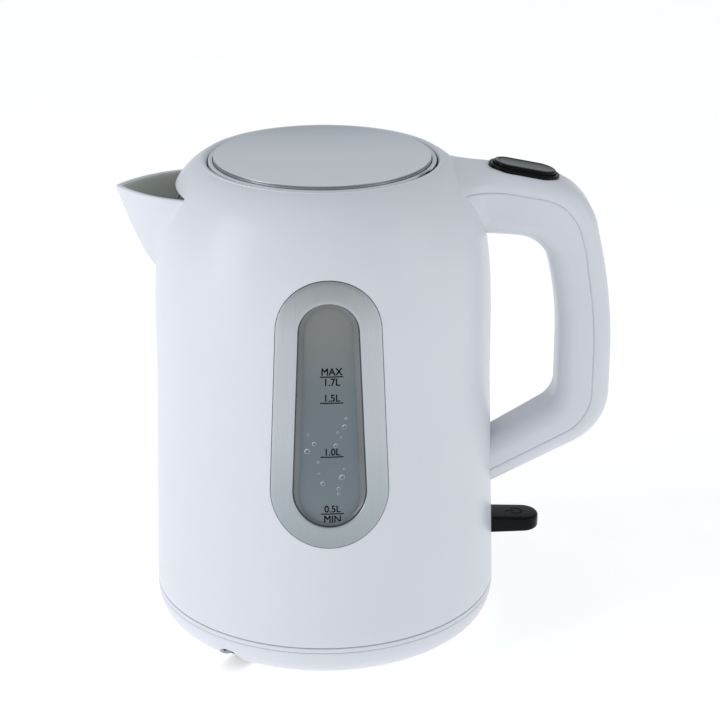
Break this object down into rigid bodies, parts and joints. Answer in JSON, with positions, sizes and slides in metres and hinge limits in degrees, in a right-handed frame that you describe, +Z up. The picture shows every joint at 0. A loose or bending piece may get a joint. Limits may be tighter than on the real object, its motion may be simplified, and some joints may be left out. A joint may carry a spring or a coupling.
{
  "type": "electric kettle",
  "caption": "Cordless electric kettle: white jug with a water window, pouring beak, hinged lid, release button and power switch, on a round power base.",
  "frame": {"origin": "on the table under the middle of the outline from spout tip to handle", "axes": "+Z up, -X towards the spout, +X towards the handle, -Y towards the water window"},
  "size_m": [0.23, 0.164, 0.2296],
  "materials": {
    "white_plastic": "smooth glossy white",
    "black_plastic": "glossy black",
    "grey_plastic": "plain moulded grey",
    "smoke_plastic": "clear smoky grey",
    "silver_trim": "satin silver, brushed upwards",
    "brushed_steel": "brushed",
    "aluminium": "plain",
    "brass": "plain",
    "silicone": "translucent pale",
    "rubber": "matt black"
  },
  "bodies": {
    "power_base": {"base_tray": "white_plastic", "base_top_cover": "white_plastic", "base_socket": "black_plastic", "base_contact_live": "brass", "base_contact_neutral": "brass", "base_contact_earth": "brass", "base_foot_1": "rubber", "base_foot_2": "rubber", "base_foot_3": "rubber", "base_foot_4": "rubber", "base_screw_1": "brushed_steel", "base_screw_2": "brushed_steel", "base_screw_3": "brushed_steel", "cord_inlet_grommet": "rubber"},
    "socket_shutter": {"socket_shutter": "grey_plastic"},
    "jug": {"jug_shell": "white_plastic", "window_trim": "silver_trim", "window_lens": "smoke_plastic", "window_gasket": "silicone", "spout_filter_frame": "white_plastic", "spout_filter_mesh": "brushed_steel", "jug_bottom_cover": "white_plastic", "bottom_screw_1": "brushed_steel", "bottom_screw_2": "brushed_steel", "bottom_screw_3": "brushed_steel", "jug_connector": "black_plastic", "control_unit": "grey_plastic", "heating_plate": "brushed_steel", "heat_spreader": "aluminium", "heating_element": "brushed_steel", "plate_seal": "silicone", "plate_clamp_ring": "grey_plastic", "steam_tube": "white_plastic", "steam_tube_grommet": "silicone", "steam_switch_box": "grey_plastic", "steam_bimetal": "brass", "handle_inner": "white_plastic", "handle_cover": "white_plastic", "handle_screw_upper": "brushed_steel", "handle_screw_lower": "brushed_steel", "lid_hinge_bracket": "white_plastic", "lid_hinge_pin": "brushed_steel", "lid_spring": "brushed_steel", "button_bezel": "black_plastic", "button_spring": "brushed_steel", "latch_spring": "brushed_steel", "switch_bracket": "grey_plastic", "switch_pin": "brushed_steel"},
    "lid": {"lid_plate": "brushed_steel", "lid_frame": "white_plastic", "lid_inner_cover": "white_plastic", "lid_seal": "silicone"},
    "lid_button": {"lid_button": "black_plastic"},
    "lid_latch": {"lid_latch": "grey_plastic"},
    "power_switch": {"power_switch": "black_plastic"}
  },
  "joints": [
    {"name": "jug_swivel", "type": "hinge", "parent": "power_base", "child": "socket_shutter", "pos_m": [-0.02035, 0, 0.018], "axis": [0, 0, 1], "continuous": true},
    {"name": "jug_lift", "type": "slide", "parent": "socket_shutter", "child": "jug", "axis": [0, 0, 1], "range_m": [0, 0.06]},
    {"name": "lid_hinge", "type": "hinge", "parent": "jug", "child": "lid", "pos_m": [0.02465, 0, 0.2265], "axis": [0, 1, 0], "range_deg": [0, 75]},
    {"name": "lid_button", "type": "slide", "parent": "jug", "child": "lid_button", "axis": [-0.1994, 0, -0.9799], "range_m": [0, 0.0025], "stiffness_N_per_m": 400, "springref_m": -0.002, "deforming": ["button_spring"]},
    {"name": "lid_latch", "type": "slide", "parent": "jug", "child": "lid_latch", "axis": [1, 0, 0], "range_m": [0, 0.002], "stiffness_N_per_m": 200, "springref_m": -0.002, "deforming": ["latch_spring"]},
    {"name": "power_switch", "type": "hinge", "parent": "jug", "child": "power_switch", "pos_m": [0.05165, 0, 0.0438], "axis": [0, 1, 0], "range_deg": [0, 12]}
  ],
  "couplings": [
    {"joint": "lid_latch", "follows": "lid_button", "ratio": 0.78}
  ]
}
